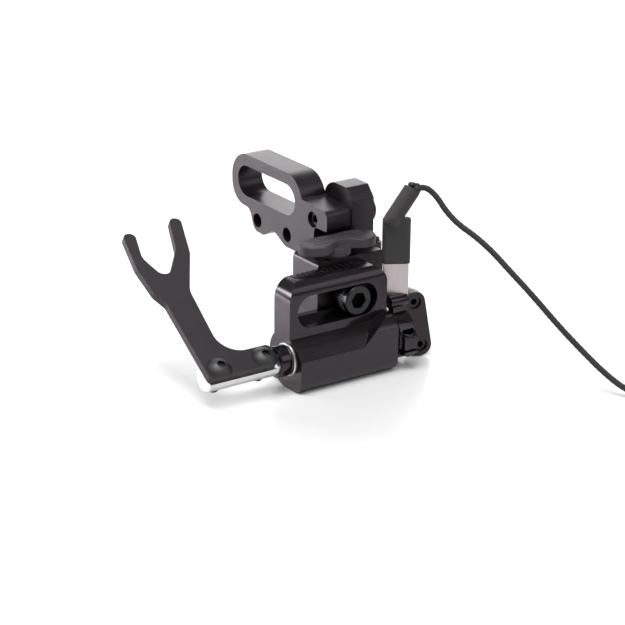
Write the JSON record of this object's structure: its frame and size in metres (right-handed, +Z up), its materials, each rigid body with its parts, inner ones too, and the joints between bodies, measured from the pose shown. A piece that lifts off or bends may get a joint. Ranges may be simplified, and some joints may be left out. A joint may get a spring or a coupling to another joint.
{
  "type": "drop-away arrow rest",
  "caption": "Right-hand drop-away arrow rest: forked launcher on a sprung cross shaft, slotted barrel, block, post, riser bracket, lock knob, lever, rubber-sheathed arm and cord.",
  "frame": {"origin": "on the barrel housing's flat bottom, under the shaft's axis and half way along the barrel", "axes": "+X along the shaft from the launcher to the lever, +Y from the slotted face towards the riser bracket, +Z up"},
  "size_m": [0.1431, 0.1475, 0.0571],
  "materials": {
    "black_anodised": "gloss black anodised",
    "collar_black": "polished black anodised",
    "blade_black": "matt black anodised",
    "shaft_steel": "bright ground",
    "bush_silver": "satin",
    "spring_steel": "satin spring steel",
    "black_screw": "black oxide",
    "bright_steel": "bright",
    "lever_brown": "dark brown-black anodised",
    "knob_plastic": "matt moulded",
    "insert_brass": "turned",
    "boot_rubber": "matt",
    "crimp_black": "matt",
    "cord_braid": "braided"
  },
  "bodies": {
    "block": {"slide_block": "black_anodised", "windage_screw": "black_screw", "elevation_set_screw": "black_screw", "knob_stud": "bright_steel"},
    "knob": {"lock_knob": "knob_plastic", "knob_insert": "insert_brass"},
    "post": {"elevation_post": "black_anodised", "riser_bracket": "black_anodised", "bracket_screw": "black_screw", "bracket_lock_screw": "black_screw"},
    "housing": {"barrel_housing": "black_anodised", "left_bushing": "bush_silver", "right_bushing": "bush_silver", "return_spring": "spring_steel", "cord_tube": "cord_braid", "cord_coil": "cord_braid"},
    "shaft": {"launcher_shaft": "shaft_steel", "launcher_blade": "blade_black", "launcher_screws": "black_screw", "shaft_collar": "collar_black", "collar_set_screw": "black_screw", "spring_pin": "bright_steel", "lever_hub": "collar_black", "hub_clamp_screw": "black_screw", "lever_plate": "lever_brown", "lever_set_screws": "black_screw", "flex_arm": "spring_steel", "arm_boot": "boot_rubber", "cord_ferrule": "crimp_black"}
  },
  "joints": [
    {"name": "windage_slide", "type": "slide", "parent": "block", "child": "housing", "axis": [1, 0, 0], "range_m": [-0.0008, 0.0164]},
    {"name": "shaft_turn", "type": "hinge", "parent": "housing", "child": "shaft", "pos_m": [0, 0, 0.0094], "axis": [1, 0, 0], "range_deg": [0, 45], "stiffness_Nm_per_rad": 0.02, "springref_deg": -28.65},
    {"name": "elevation_slide", "type": "slide", "parent": "block", "child": "post", "axis": [0, 0, 1], "range_m": [0, 0.01]},
    {"name": "knob_turn", "type": "hinge", "parent": "block", "child": "knob", "pos_m": [0.0061, 0.0095, 0.038], "axis": [0, 0, 1], "range_deg": [-30, 0]}
  ]
}
